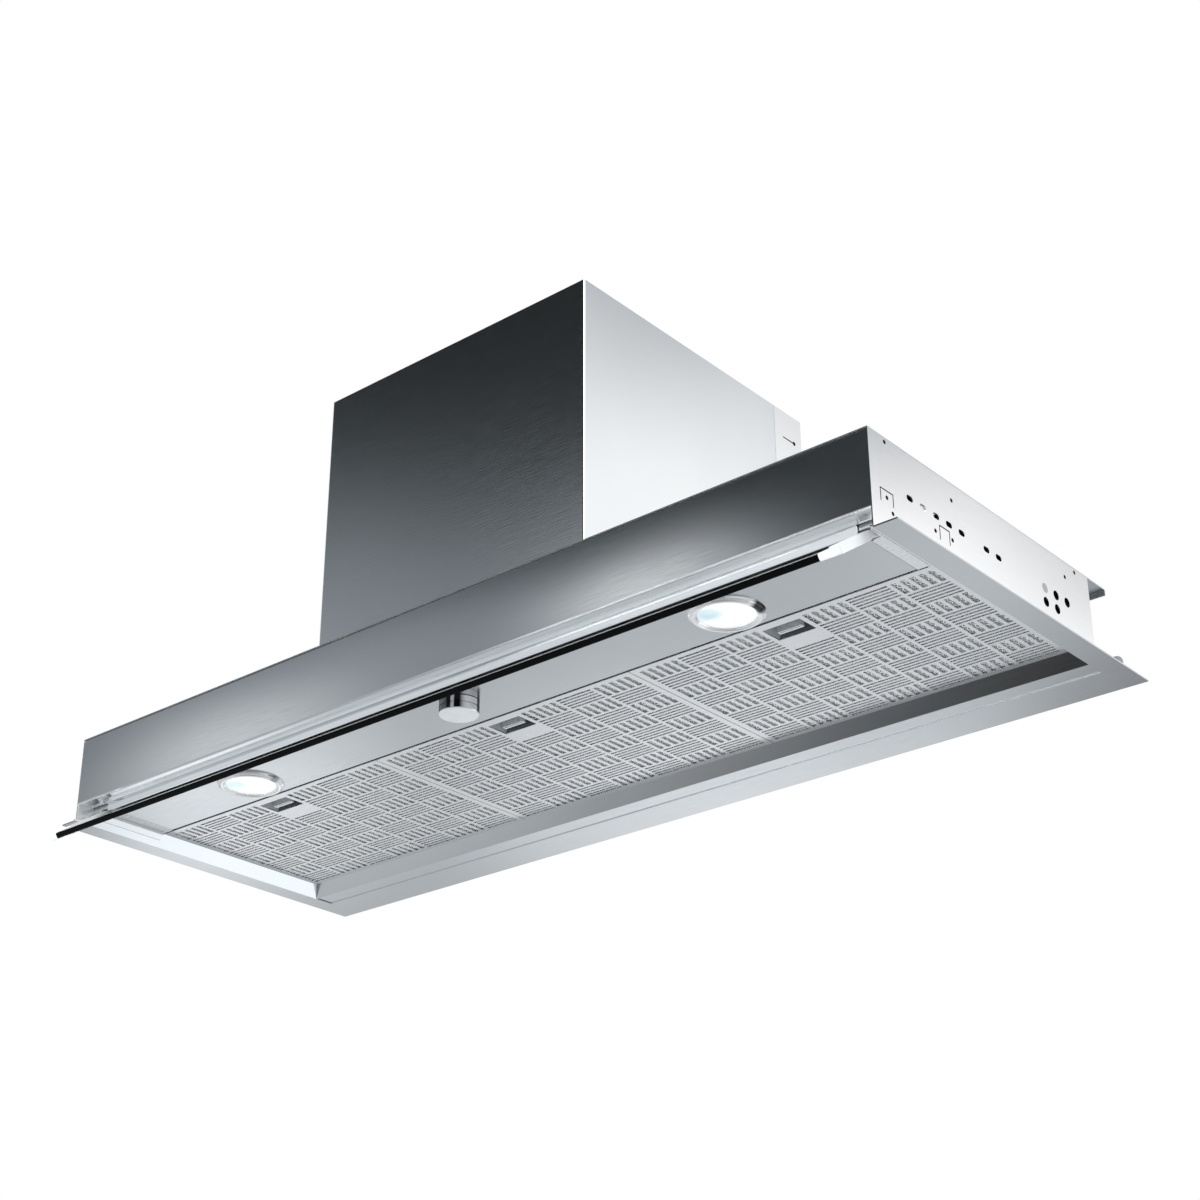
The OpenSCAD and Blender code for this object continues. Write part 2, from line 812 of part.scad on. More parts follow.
// Latch cup: the finger recess, with a slot in its floor for the latch's grip
module latch_cup(at) {
  z0 = recess_h + filter_sheet;
  x1 = latch_w / 2;
  y1 = latch_y0 + latch_d;
  color([0.42, 0.44, 0.46])
    translate([at * filter_pitch, 0, 0])
      difference() {
        block([-x1 - cup_wall, latch_y0 - cup_wall, z0],
              [x1 + cup_wall, y1 + cup_wall, cup_floor_z + cup_wall / 2]);
        intersection() {
          run_x(-x1, x1, [[latch_y0, z0 - over], [y1, z0 - over], [y1, z0], [y1 - cup_rear_slope, cup_floor_z],
                          [latch_y0 + cup_slope, cup_floor_z], [latch_y0, z0]]);
          run_y(latch_y0, y1, [[-x1, z0 - over], [x1, z0 - over], [x1, z0], [x1 - cup_slope, cup_floor_z],
                               [cup_slope - x1, cup_floor_z], [-x1, z0]]);
        }
        block([-grip_w / 2 - run_gap, grip_y - run_gap, cup_floor_z - over],
              [grip_w / 2 + run_gap, grip_y + grip_t + latch_travel + run_gap, cup_floor_z + over]);
      }
}

// Latch: a plate that runs forward over the cup, its grip below and its nose at the front
module latch_slider(at) {
  nose_y = panel_y1 + nose_gap;
  color([0.75, 0.77, 0.79])
    translate([at * filter_pitch, 0, 0]) {
      run_x(-slider_w / 2, slider_w / 2, [
        [nose_y + slider_t / 2, slider_z],
        [grip_y + grip_t, slider_z],
        [grip_y + grip_t, slider_z + slider_t],
        [nose_y, slider_z + slider_t],
        [nose_y, slider_z + slider_t / 2]
      ]);
      difference() {
        block([-grip_w / 2, grip_y, recess_h + filter_sheet], [grip_w / 2, grip_y + grip_t, slider_z]);
        block([-grip_w / 2 + grip_ridge, grip_y + grip_ridge, recess_h],
              [grip_w / 2 - grip_ridge, grip_y + grip_ridge + grip_groove, recess_h + filter_sheet + grip_groove]);
      }
      block([-slider_w / 2, grip_y, slider_z - pin_gap], [slider_w / 2, grip_y + grip_t, slider_z]);
    }
}

// Motor box: front cover, rear cover and lid
foot_w = 11;
seam_gap = 0.3;
seam_y = plate_y1 - seam_set;
box_top = body_h + box_h;
vent_slot_len = 17;
vent_slot_h = 1.2;
vent_slot_drop = 27.5;
vent_hole_r = 2;
module motor_cover() {
  path = rounded([
    [-box_w / 2, seam_y], [-box_w / 2, box_set], [box_w / 2, box_set], [box_w / 2, seam_y]
  ], fold_r);
  color([0.48, 0.50, 0.52]) {
    translate([0, 0, body_h])
      linear_extrude(height = box_h)
        polygon(ribbon(path, sheet));
    block([sheet - box_w / 2, box_set + sheet, body_h], [box_w / 2 - sheet, box_set + foot_w, body_h + sheet]);
    for (e = [-1, 1])
      on_side(e)
        block([box_w / 2 - foot_w, box_set + foot_w, body_h], [box_w / 2 - sheet, seam_y, body_h + sheet]);
  }
}

module motor_rear_cover() {
  path = rounded([
    [box_w / 2, seam_y + seam_gap], [box_w / 2, plate_y1], [-box_w / 2, plate_y1],
    [-box_w / 2, seam_y + seam_gap]
  ], fold_r);
  slot_y = (seam_y + plate_y1) / 2;
  color([0.86, 0.87, 0.88])
    difference() {
      translate([0, 0, body_h])
        linear_extrude(height = box_h)
          polygon(ribbon(path, sheet));
      for (e = [-1, 1])
        on_side(e)
          translate([box_w / 2 - over, slot_y, box_top - vent_slot_drop])
            rotate([90, 0, 90])
              linear_extrude(height = 2 * over) {
                square([vent_slot_len, vent_slot_h], center = true);
                translate([vent_slot_len / 2, 0])
                  circle(r = vent_hole_r);
              }
    }
}

// Blower housing: a spiral that opens upwards, its outline a share of a turn at a time
scroll_gap = 7;
scroll_growth = 56;
scroll_from = 60;
scroll_side_gap = 2.2;
scroll_floor_gap = 17;
scroll_w = 150;
scroll_wall = 1.2;
inlet_r = 58;
scroll_step = 10;
function scroll_r(a) = wheel_r + scroll_gap + scroll_wall
  + scroll_growth * (a - scroll_from) / (360 - scroll_from);
axle_y = box_set + sheet + scroll_side_gap + scroll_r(180);
axle_z = body_h + scroll_floor_gap + scroll_r(270);
throat_y1 = axle_y + scroll_r(360);
throat_y0 = throat_y1 - 2 * collar_r - 2 * scroll_wall;
collar_y = (throat_y0 + throat_y1) / 2;
function scroll_pts(d, top) = concat(
  [for (a = [scroll_from:scroll_step:360])
    [axle_y + (scroll_r(a) - d) * cos(a), axle_z + (scroll_r(a) - d) * sin(a)]],
  [[throat_y1 - d, top], [throat_y0 + d, top]]
);

module blower_housing() {
  top = box_top - sheet;
  color([0.72, 0.73, 0.74])
    difference() {
      run_x(-scroll_w / 2, scroll_w / 2, scroll_pts(0, top));
      run_x(scroll_wall - scroll_w / 2, scroll_w / 2 - scroll_wall, scroll_pts(scroll_wall, top + over));
      translate([-scroll_w / 2 - over, axle_y, axle_z])
        rotate([0, 90, 0])
          cylinder(r = inlet_r, h = scroll_w + 2 * over);
    }
}

// Blower wheel: forward-curved blades on a middle disc, held by a ring at each end
blade_depth = 12;
blade_inset = 1;
blade_sweep = 7;
blade_curve_share = 0.22;
disc_t = 2;
ring_t = 3;
hub_len = 24;
hub_out_r = 12;
function blade_side(off) = [for (s = [0:1 / 4:1])
  let (
    r = wheel_r - blade_depth + (blade_depth - blade_inset) * s,
    a = blade_sweep * (s + blade_curve_share * sin(180 * s)) + off / r * 180 / PI
  )
  r * [cos(a), sin(a)]];
module blower_wheel() {
  near = blade_side(0);
  far = blade_side(blade_t);
  blade = concat(near, [for (i = [len(far) - 1:-1:0]) far[i]]);
  color([0.30, 0.31, 0.33])
    translate([0, axle_y, axle_z])
      rotate([90, 0, 90])
        difference() {
          union() {
            translate([0, 0, (ring_t - wheel_w) / 2])
              linear_extrude(height = wheel_w - ring_t)
                for (k = [0:blade_n - 1])
                  rotate(k * 360 / blade_n)
                    polygon(blade);
            translate([0, 0, -disc_t / 2])
              cylinder(r = wheel_r - blade_depth / 3, h = disc_t);
            translate([0, 0, -hub_len / 2])
              cylinder(r = hub_out_r, h = hub_len);
            for (z = [-wheel_w / 2, wheel_w / 2 - ring_t])
              translate([0, 0, z])
                difference() {
                  cylinder(r = wheel_r, h = ring_t);
                  translate([0, 0, -over])
                    cylinder(r = wheel_r - blade_depth / 2, h = ring_t + 2 * over);
                }
          }
          translate([0, 0, -hub_len])
            cylinder(r = shaft_r, h = 2 * hub_len);
        }
}

// Motor: round body with a domed end, inside the wheel's right side
motor_gap = 3;
motor_x0 = hub_len / 2 + motor_gap;
bracket_t = 2;
bracket_x = scroll_w / 2;
motor_len = bracket_x - motor_x0;
module motor() {
  dome = motor_r / 6;
  color([0.55, 0.56, 0.58])
    translate([motor_x0, axle_y, axle_z])
      rotate([0, 90, 0])
        rotate_extrude()
          polygon([
            [shaft_r + pin_gap, 0],
            [motor_r - dome, 0],
            [motor_r - dome / 3, dome / 3],
            [motor_r, dome],
            [motor_r, motor_len],
            [shaft_r + pin_gap, motor_len]
          ]);
}

module motor_shaft() {
  color([0.70, 0.71, 0.72])
    translate([-hub_len / 2 - seat, axle_y, axle_z])
      rotate([0, 90, 0])
        cylinder(r = shaft_r, h = hub_len / 2 + seat + motor_x0 + motor_len);
}

// Motor bracket: a ring and three arms that hold the motor in the inlet
arm_n = 3;
bracket_arm_w = 14;
bracket_hub_r = motor_r;
module motor_bracket() {
  color([0.60, 0.61, 0.63])
    translate([bracket_x, axle_y, axle_z])
      rotate([90, 0, 90])
        linear_extrude(height = bracket_t) {
          difference() {
            circle(r = inlet_r + bracket_arm_w / 2);
            circle(r = inlet_r);
          }
          difference() {
            union() {
              circle(r = bracket_hub_r);
              for (k = [0:arm_n - 1])
                rotate(90 + k * 360 / arm_n)
                  translate([0, -bracket_arm_w / 2])
                    square([inlet_r + bracket_arm_w / 4, bracket_arm_w]);
            }
            circle(r = hub_out_r);
          }
        }
}

// Lid of the motor box, with the outlet's hole
module round_corner_2d(size, r) {
  for (cut = [[r, 0], [0, r]])
    square(size - 2 * cut, center = true);
  for (x = [-1, 1], y = [-1, 1])
    translate([x * (size[0] / 2 - r), y * (size[1] / 2 - r)])
      circle(r = r);
}

module motor_box_lid() {
  inset = 2 * (sheet + pin_gap);
  color([0.80, 0.81, 0.82])
    translate([0, 0, box_top - sheet])
      linear_extrude(height = sheet)
        difference() {
          translate([0, box_set + box_d / 2])
            round_corner_2d([box_w - inset, box_d - inset], fold_r);
          translate([0, collar_y])
            circle(r = collar_r - collar_wall);
        }
}

// Outlet collar: a flanged tube with a stop ring for the flaps and holes for their pin
collar_flange = 14;
collar_flange_t = 1.6;
stop_r_in = 3;
stop_h = 1.5;
knuckle_r = 3;
flap_t = 1.2;
flap_up = 16;
stop_notch = 7;
collar_z = box_top;
hinge_z = collar_z + flap_up;
flap_gap = 1.2;
flap_r = collar_r - collar_wall - flap_gap;
module outlet_collar() {
  bore = collar_r - collar_wall;
  color([0.16, 0.17, 0.18])
    translate([0, collar_y, collar_z])
      difference() {
        union() {
          cylinder(r = collar_r + collar_flange, h = collar_flange_t);
          cylinder(r = collar_r, h = collar_h);
        }
        difference() {
          translate([0, 0, -over])
            cylinder(r = bore, h = collar_h + 2 * over);
          difference() {
            translate([0, 0, flap_up - flap_t / 2 - seat - stop_h])
              cylinder(r = collar_r, h = stop_h);
            cylinder(r = bore - stop_r_in, h = collar_h);
            block([-collar_r, -stop_notch, 0], [collar_r, stop_notch, collar_h]);
          }
        }
        translate([-collar_r - over, 0, flap_up])
          rotate([0, 90, 0])
            cylinder(r = pin_r + pin_gap, h = 2 * (collar_r + over));
      }
}

// Flap: half a disc with two hinge knuckles, seen from above as the front or the rear half
knuckle_n = 4;
knuckle_reach_share = 0.8;
module flap(front) {
  e = front ? -1 : 1;
  reach = flap_r * knuckle_reach_share;
  step = 2 * reach / knuckle_n;
  edge = knuckle_r + run_gap + flap_t / 6;
  color([0.22, 0.23, 0.24])
    translate([0, collar_y, hinge_z])
      difference() {
        union() {
          intersection() {
            translate([0, 0, -flap_t / 2])
              cylinder(r = flap_r, h = flap_t);
            block([-flap_r, e > 0 ? edge : -flap_r, -flap_t], [flap_r, e > 0 ? flap_r : -edge, flap_t]);
          }
          for (k = [0:knuckle_n - 1])
            if ((k % 2 == 0) == front)
              translate([-reach + k * step + run_gap / 2, 0, 0]) {
                rotate([0, 90, 0])
                  cylinder(r = knuckle_r, h = step - run_gap);
                block([0, e > 0 ? 0 : -edge - flap_t, -flap_t / 2],
                      [step - run_gap, e > 0 ? edge + flap_t : 0, flap_t / 2]);
              }
        }
        translate([-collar_r, 0, 0])
          rotate([0, 90, 0])
            cylinder(r = pin_r + pin_gap, h = 2 * collar_r);
      }
}

module flap_pin() {
  color([0.80, 0.81, 0.82])
    translate([-collar_r, collar_y, hinge_z])
      rotate([0, 90, 0])
        cylinder(r = pin_r, h = 2 * collar_r);
}

// Control box on the top plate, its lid, and the gland for the supply lead
ctrl_size = [130, 84, 40];
ctrl_at = [-side_room_x, 236];
ctrl_wall = 2;
ctrl_lid_t = 3;
gland_r = 8;
gland_bore = 4;
gland_len = 14;
module control_box() {
  color([0.90, 0.90, 0.89])
    translate([ctrl_at[0] - ctrl_size[0] / 2, ctrl_at[1] - ctrl_size[1] / 2, body_h])
      difference() {
        cube([ctrl_size[0], ctrl_size[1], ctrl_size[2] - ctrl_lid_t]);
        translate([ctrl_wall, ctrl_wall, ctrl_wall])
          cube([ctrl_size[0] - 2 * ctrl_wall, ctrl_size[1] - 2 * ctrl_wall, ctrl_size[2]]);
        translate([ctrl_size[0] / 4, ctrl_size[1] - ctrl_wall - over, ctrl_size[2] / 2])
          rotate([-90, 0, 0])
            cylinder(r = gland_r - ctrl_wall, h = ctrl_wall + 2 * over);
      }
}

module control_box_lid() {
  color([0.90, 0.90, 0.89])
    translate([ctrl_at[0] - ctrl_size[0] / 2, ctrl_at[1] - ctrl_size[1] / 2, body_h + ctrl_size[2] - ctrl_lid_t]) {
      cube([ctrl_size[0], ctrl_size[1], ctrl_wall]);
      translate([ctrl_wall, ctrl_wall, ctrl_wall])
        cube([ctrl_size[0] - 2 * ctrl_wall, ctrl_size[1] - 2 * ctrl_wall, ctrl_lid_t - ctrl_wall]);
    }
}

module cable_gland() {
  color([0.12, 0.12, 0.13])
    translate([ctrl_at[0] - ctrl_size[0] / 4, ctrl_at[1] + ctrl_size[1] / 2, body_h + ctrl_size[2] / 2])
      rotate([-90, 0, 0])
        difference() {
          union() {
            cylinder(r = gland_r, h = gland_len / 2);
            cylinder(r = gland_r - ctrl_wall, h = gland_len);
            translate([0, 0, -ctrl_wall])
              cylinder(r = gland_r - ctrl_wall - pin_gap, h = ctrl_wall);
          }
          translate([0, 0, -ctrl_wall - over])
            cylinder(r = gland_bore, h = gland_len + ctrl_wall + 2 * over);
        }
}

// Pan-head screws along the motor box's foot
screw_head_r = 3.4;
screw_head_h = 2;
screw_x_share = 0.38;
module cover_screws() {
  color([0.75, 0.76, 0.78])
    for (e = [-1, 0, 1])
      translate([e * screw_x_share * box_w, box_set + (sheet + foot_w) / 2, body_h + sheet])
        cylinder(r = screw_head_r, h = screw_head_h);
}

// Plugs that close one hole in each side plate, with a rim inside
plug_rim = 1.6;
plug_t = 1.2;
module hole_plugs() {
  color([0.75, 0.76, 0.78])
    for (e = [-1, 1])
      on_side(e)
        translate([in_w, vent_y, vent_z])
          rotate([0, 90, 0]) {
            cylinder(r = vent_r - pin_gap, h = sheet);
            translate([0, 0, -plug_t])
              cylinder(r = vent_r + plug_rim, h = plug_t);
          }
}

front_panel();
side_plate(-1);  // side_plate_left
side_plate(1);  // side_plate_right
rear_panel();
top_plate();
bottom_frame();
light_panel();
visor_guide(-1);  // visor_guide_left
visor_guide(1);  // visor_guide_right
visor_glass();
visor_trim();
visor_arm(-1);  // visor_arm_left
visor_arm(1);  // visor_arm_right
control_knob();
knob_spindle();
rotary_switch();
lamp_ring(-1);  // lamp_ring_left
lamp_ring(1);  // lamp_ring_right
lamp_glass(-1);  // lamp_glass_left
lamp_glass(1);  // lamp_glass_right
lamp_body(-1);  // lamp_body_left
lamp_body(1);  // lamp_body_right
lamp_driver();
filter_frame(-1);  // filter_frame_left
filter_frame(0);  // filter_frame_centre
filter_frame(1);  // filter_frame_right
filter_mesh(-1);  // filter_mesh_left
filter_mesh(0);  // filter_mesh_centre
filter_mesh(1);  // filter_mesh_right
latch_cup(-1);  // latch_cup_left
latch_cup(0);  // latch_cup_centre
latch_cup(1);  // latch_cup_right
latch_slider(-1);  // latch_slider_left
latch_slider(0);  // latch_slider_centre
latch_slider(1);  // latch_slider_right
motor_cover();
motor_rear_cover();
motor_box_lid();
blower_housing();
blower_wheel();
motor();
motor_shaft();
motor_bracket();
outlet_collar();
flap(true);  // flap_front
flap(false);  // flap_rear
flap_pin();
control_box();
control_box_lid();
cable_gland();
cover_screws();
hole_plugs();
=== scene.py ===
# Built-in range hood: looks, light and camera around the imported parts. Lengths are in metres.
import math

import bmesh
import bpy
from mathutils import Matrix, Vector


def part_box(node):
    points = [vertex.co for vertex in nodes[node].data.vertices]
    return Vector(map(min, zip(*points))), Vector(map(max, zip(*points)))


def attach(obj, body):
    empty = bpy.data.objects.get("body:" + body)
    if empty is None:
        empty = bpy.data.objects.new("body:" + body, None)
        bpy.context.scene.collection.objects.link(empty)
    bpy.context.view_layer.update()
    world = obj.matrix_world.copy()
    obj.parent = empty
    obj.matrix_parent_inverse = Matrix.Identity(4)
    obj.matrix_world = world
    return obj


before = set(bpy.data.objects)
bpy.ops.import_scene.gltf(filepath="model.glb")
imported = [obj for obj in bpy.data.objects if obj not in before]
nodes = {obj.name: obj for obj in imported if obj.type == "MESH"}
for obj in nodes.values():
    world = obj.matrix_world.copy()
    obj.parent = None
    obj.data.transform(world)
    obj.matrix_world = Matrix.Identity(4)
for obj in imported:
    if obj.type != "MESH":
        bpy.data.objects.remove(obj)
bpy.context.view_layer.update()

SIDES = ("left", "right")
FILTERS = ("left", "centre", "right")

# Camera, as solved from the straight edges in the photograph
CAMERA_PLACE = Vector((1.11979, -1.09318, -0.68307))
CAMERA_YAW = math.radians(40.375)
CAMERA_PITCH = math.radians(26.19)
CAMERA_ROLL = math.radians(-0.156)
SENSOR = 36
LENS = 64.92
CLIP_START = 0.01

FLOOR_Z = -1.0
FLOOR_HALF = 30
FLOOR_PALE = "eceef0"

# Even light from all round: tone and strength
WORLD_TONE = "f4f6f8"
WORLD_STRENGTH = 0.95
# Soft lamps: name, place, what it points at, size and power
LAMPS = (
    ("key", (2.4, -1.2, 2.2), (0, 0.1, 0.1), (2.0, 2.0), 45),
    ("low", (-0.6, -2.6, -0.6), (0, 0.1, 0), (2.4, 1.2), 22),
)

# The studio as metal shows it. Its front gets darker with height: height of the direction, and tone there.
FRONT_TONES = (
    (0.20, "a8adb2"), (0.31, "83898e"), (0.40, "858b90"), (0.445, "787e83"), (0.465, "61676b"),
    (0.496, "3a3f42"), (0.52, "25292b"), (0.56, "1f2223"),
)
# The front passes into the light side between these depths of the direction
FRONT_DEPTHS = (-0.35, 0.05)
# It is dark all the way up at its right end: sideways part of the direction, and the tone there
FRONT_END = (-0.532, -0.478)
FRONT_END_TONE = "2e3235"
# Soft glows in that dark front, and a dim corner: direction, radius, strength and tone
FRONT_GLOWS = (
    ((-0.718, -0.595, 0.354), 0.090, 0.74, "f4f6f8"),
    ((-0.564, -0.708, 0.421), 0.069, 0.92, "f4f6f8"),
    ((-0.550, -0.700, 0.475), 0.055, 0.13, "f4f6f8"),
    ((-0.677, -0.603, 0.430), 0.080, 0.08, "f4f6f8"),
    ((-0.800, -0.500, 0.355), 0.12, 0.80, "5a6064"),
)
# The light to the right begins between these sideways parts of the direction. It is brightest below a
# leaning plane: its normal, where it fades above the plane, the tone above it and the strength below it.
RIGHT_START = (0.2, 0.35)
RIGHT_NORMAL = (-0.589, -0.115, 0.800)
RIGHT_FADE = (0.01, 0.09)
RIGHT_TONE = "a4a8ad"
RIGHT_LIGHT = 1.12
RIGHT_GLOWS = (
    ((0.425, 0.785, 0.500), 0.09, 0.85, "ffffff"),
    ((0.390, 0.820, 0.435), 0.07, 0.40, "a4a8ad"),
    ((0.560, 0.640, 0.560), 0.09, 0.40, "a4a8ad"),
    ((0.462, 0.735, 0.505), 0.065, 0.48, "a4a8ad"),
)
# The floor as metal shows it: hue, tone, then spots of painted light and shade with place, inner and outer
# radius, and change of tone
FLOOR_HUE = "f9fcff"
FLOOR_TONE = 0.60
FLOOR_PAINTED_LIGHT_AND_SHADE_SPOTS = (
    ((0.30, -0.63), 0.35, 2.00, -0.57),
    ((0.45, 1.20), 0.28, 0.60, 0.95),
    ((1.70, 1.70), 0.70, 1.15, -0.58),
    ((-1.55, 2.45), 0.25, 0.80, 0.52),
    ((-0.20, 2.70), 0.20, 0.95, -0.45),
    ((-0.50, 1.93), 0.05, 0.40, 0.22),
    ((-2.38, 1.76), 0.26, 0.50, 0.47),
    ((-2.29, 1.73), 0.05, 0.42, 0.30),
    ((-2.80, 2.02), 0.08, 0.34, 0.34),
    ((-2.85, 1.52), 0.05, 0.42, -0.68),
    ((-2.88, 2.48), 0.10, 0.55, -0.16),
    ((-0.91, 2.44), 0.03, 0.28, 0.34),
    ((-1.60, -2.00), 1.00, 1.50, 0.26),
    ((-0.60, -1.70), 0.20, 0.90, 0.20),
)

# Slight bow of a sheet, which spreads the reflection over its height: curvature and height of its middle
FRONT_BOW = (0.31, 0.043)
SIDE_BOW = (0.22, 0.020)
# Fine lines of brushed sheet: density, strength of the relief, and share of the noise that darkens the sheet
LINE_SCALE = 1800
LINE_RELIEF = 0.08
LINE_SHADE = 0.12
# Inner faces of the side plates and the knob's face are satin: their metallic part, and the face's depth
SATIN_METALLIC = 0.45
SATIN_DEPTH = 0.0006
# Faint smears on polished metal
SMEAR_SCALE = 60
SMEAR_RELIEF = 0.02
SMEAR_DEPTH = 0.0003
# Moulded plastic: grain, slow changes of tone, and how steep a face has to be to count as upright, for the
# painted shade of a recess
GRAIN_SCALE = 2500
GRAIN_RELIEF = 0.12
GRAIN_DEPTH = 0.0002
TONE_SCALE = 18
UPRIGHT = 0.5

# Painted reflection on the knob's rim, as bands from left to right: the axis they lie along, where they are
# and their tones
KNOB_AXIS = (0.762, 0.648, 0)
KNOB_PAINTED_REFLECTION_BANDS = (
    (0.00, "17191a"), (0.045, "17191a"), (0.065, "8c9195"), (0.18, "7d8286"), (0.23, "26292b"),
    (0.30, "17191a"), (0.33, "f8f9fa"), (0.385, "f8f9fa"), (0.41, "17191a"), (0.54, "1c1e20"),
    (0.62, "d8dadc"), (0.69, "fbfcfc"), (0.93, "fbfcfc"), (0.96, "1c1e20"),
)
KNOB_RIM_METALLIC = 0.15
KNOB_FACE_TONES = ("eef0f1", "f8f9fa")
KNOB_ROUGH = (0.03, 0.06)
# Painted reflection round the chrome of each lamp, as arcs of tone: degrees from the x axis, and the tone
# there
RING_PAINTED_REFLECTION_ARCS = {
    "left": ((-6, "fbfcfc"), (2, "aeb3b7"), (12, "aeb3b7"), (18, "fbfcfc")),
    "right": ((-14, "fbfcfc"), (-4, "24282a"), (19, "24282a"), (30, "fbfcfc")),
}
RING_METALLIC = 0.6
RING_ROUGH = (0.04, 0.08)
# A lens is frosted and has a pale patch: way from the lamp's middle, radii, mottling, tones and glow
PATCH_SHIFT = Vector((-0.0107, -0.0091, 0))
PATCH_RADII = (0.004, 0.014)
PATCH_MOTTLE = 0.6
LENS_TONE = "fcfdfd"
PATCH_TONE = "bddde3"
LENS_GLOW = 0.25
LENS_COAT = 0.6
FROST_SCALE = 1500
FROST_RELIEF = 0.05
FROST_DEPTH = 0.0002
FROST_ROUGH = (0.12, 0.2)
# Glass of the visor: its haze and refraction
HAZE_SCALE = 25
HAZE_TONES = ("f1f6f6", "f9fcfc")
HAZE_ROUGH = (0.0, 0.03)
GLASS_IOR = 1.4

# Half-round bead on the flat of a lamp ring: its inset from the ring's edge, rise, embedding and facets
BEAD_INSET = 0.0022
BEAD_RISE = 0.0012
BEAD_SINK = 0.0001
BEAD_TURNS = 96
BEAD_ARCS = 12

# Expanded wire behind the filters' slots: pitch, width, rise of every other point, swing as a share of the
# pitch, thickness as a share of the width, and distance kept from the latch cup
WEAVE_PITCH = 0.0036
WEAVE_WIRE = 0.0014
WEAVE_LIFT = 0.0006
WEAVE_SWING = 0.42
WEAVE_THICKNESS = 0.6
WEAVE_CLEARANCE = 0.001


def srgb(text):
    """A colour written as six hex digits, as linear values."""
    parts = [int(text[i:i + 2], 16) / 255 for i in (0, 2, 4)]
    return [p / 12.92 if p <= 0.04045 else ((p + 0.055) / 1.055) ** 2.4 for p in parts] + [1]


class Nodes:
    """A small helper that adds and joins shader nodes."""

    def __init__(self, tree):
        self.tree = tree
        tree.nodes.clear()

    def add(self, kind, **settings):
        node = self.tree.nodes.new(kind)
        for name, value in settings.items():
            setattr(node, name, value)
        return node

    def join(self, a, b):
        self.tree.links.new(a, b)

    def feed(self, value, socket):
        """Joins an output to the socket, or sets the socket to a plain value."""
        if isinstance(value, bpy.types.NodeSocket):
            self.join(value, socket)
        else:
            socket.default_value = value

    def coords(self, scale=(1, 1, 1)):
        place = self.add("ShaderNodeTexCoord")
        mapping = self.add("ShaderNodeMapping")
        mapping.inputs["Scale"].default_value = scale
        self.join(place.outputs["Object"], mapping.inputs["Vector"])
        return mapping.outputs["Vector"]

    def parts(self, vector):
        """The three outputs of a vector's parts."""
        split = self.add("ShaderNodeSeparateXYZ")
        self.join(vector, split.inputs[0])
        return split.outputs

    def noise(self, scale, detail=3, stretch=(1, 1, 1)):
        noise = self.add("ShaderNodeTexNoise")
        noise.inputs["Scale"].default_value = scale
        noise.inputs["Detail"].default_value = detail
        self.join(self.coords(stretch), noise.inputs["Vector"])
        return noise.outputs["Fac"]

    def span(self, value, low, high, start=0.3, end=0.7, kind="LINEAR"):
        """Takes start..end to low..high. The defaults suit noise."""
        span = self.add("ShaderNodeMapRange", interpolation_type=kind)
        for name, number in (("From Min", start), ("From Max", end), ("To Min", low), ("To Max", high)):
            span.inputs[name].default_value = number
        self.join(value, span.inputs["Value"])
        return span.outputs["Result"]

    def mix(self, factor, a, b):
        mix = self.add("ShaderNodeMix", data_type="RGBA", blend_type="MIX")
        for value, socket in ((factor, mix.inputs["Factor"]), (a, mix.inputs[6]), (b, mix.inputs[7])):
            self.feed(value, socket)
        return mix.outputs[2]

    def calc(self, a, b, operation="ADD"):
        result = self.add("ShaderNodeMath", operation=operation)
        self.feed(a, result.inputs[0])
        self.feed(b, result.inputs[1])
        return result.outputs[0]

    def dot(self, vector, axis):
        product = self.add("ShaderNodeVectorMath", operation="DOT_PRODUCT")
        self.join(vector, product.inputs[0])
        product.inputs[1].default_value = axis
        return product.outputs["Value"]

    def spot(self, place, centre, inner, outer):
        """One at the centre, fading to nothing at the outer radius."""
        away = self.add("ShaderNodeVectorMath", operation="DISTANCE")
        self.join(place, away.inputs[0])
        away.inputs[1].default_value = centre
        return self.span(away.outputs["Value"], 1.0, 0.0, inner, outer, "SMOOTHSTEP")

    def ramp(self, value, stops):
        ramp = self.add("ShaderNodeValToRGB")
        points = ramp.color_ramp.elements
        while len(points) < len(stops):
            points.new(1.0)
        for point, (where, tone) in zip(points, stops):
            point.position = where
            point.color = srgb(tone)
        self.join(value, ramp.inputs["Fac"])
        return ramp.outputs["Color"]

    def bump(self, height, strength, distance, normal=None):
        bump = self.add("ShaderNodeBump")
        bump.inputs["Strength"].default_value = strength
        bump.inputs["Distance"].default_value = distance
        self.join(height, bump.inputs["Height"])
        if normal:
            self.join(normal, bump.inputs["Normal"])
        return bump.outputs["Normal"]

    def shader(self, **values):
        shader = self.add("ShaderNodeBsdfPrincipled")
        for name, value in values.items():
            self.feed(value, shader.inputs[name.replace("_", " ")])
        output = self.add("ShaderNodeOutputMaterial")
        self.join(shader.outputs["BSDF"], output.inputs["Surface"])


def material(name):
    made = bpy.data.materials.new(name)
    made.use_nodes = True
    return made, Nodes(made.node_tree)


